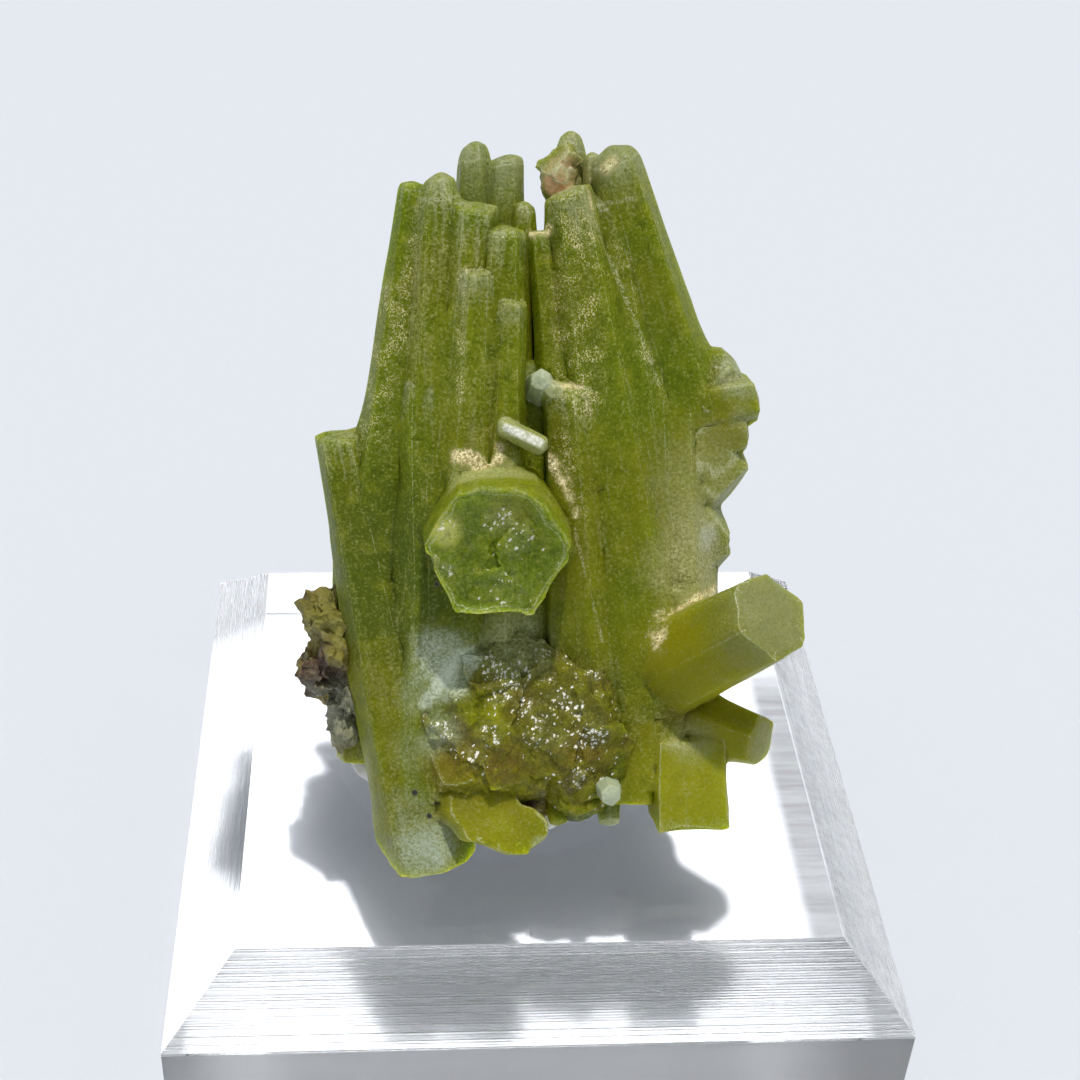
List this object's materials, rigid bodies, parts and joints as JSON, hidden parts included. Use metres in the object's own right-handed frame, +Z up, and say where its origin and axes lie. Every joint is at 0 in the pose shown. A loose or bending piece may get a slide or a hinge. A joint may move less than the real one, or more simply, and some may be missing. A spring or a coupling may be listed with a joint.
{
  "type": "mineral specimen",
  "caption": "Cluster of long green six-sided crystals with a hopper-ended crystal, broken foot and brown rock, set in white putty on a bevelled square block of clear acrylic.",
  "frame": {"origin": "middle of the block's underside", "axes": "+Z up, -Y towards the viewer, X along the block's front edge"},
  "size_m": [0.03, 0.03, 0.036],
  "materials": {
    "clear_acrylic": "polished faces, finely milled bevels",
    "white_putty": "matte, soft",
    "iron_stained_rock": "rough",
    "green_crystal": "waxy, translucent"
  },
  "bodies": {
    "root": {"display_base": "clear_acrylic", "mounting_putty": "white_putty", "gossan_matrix": "iron_stained_rock", "pyromorphite_cluster": "green_crystal"}
  },
  "joints": []
}
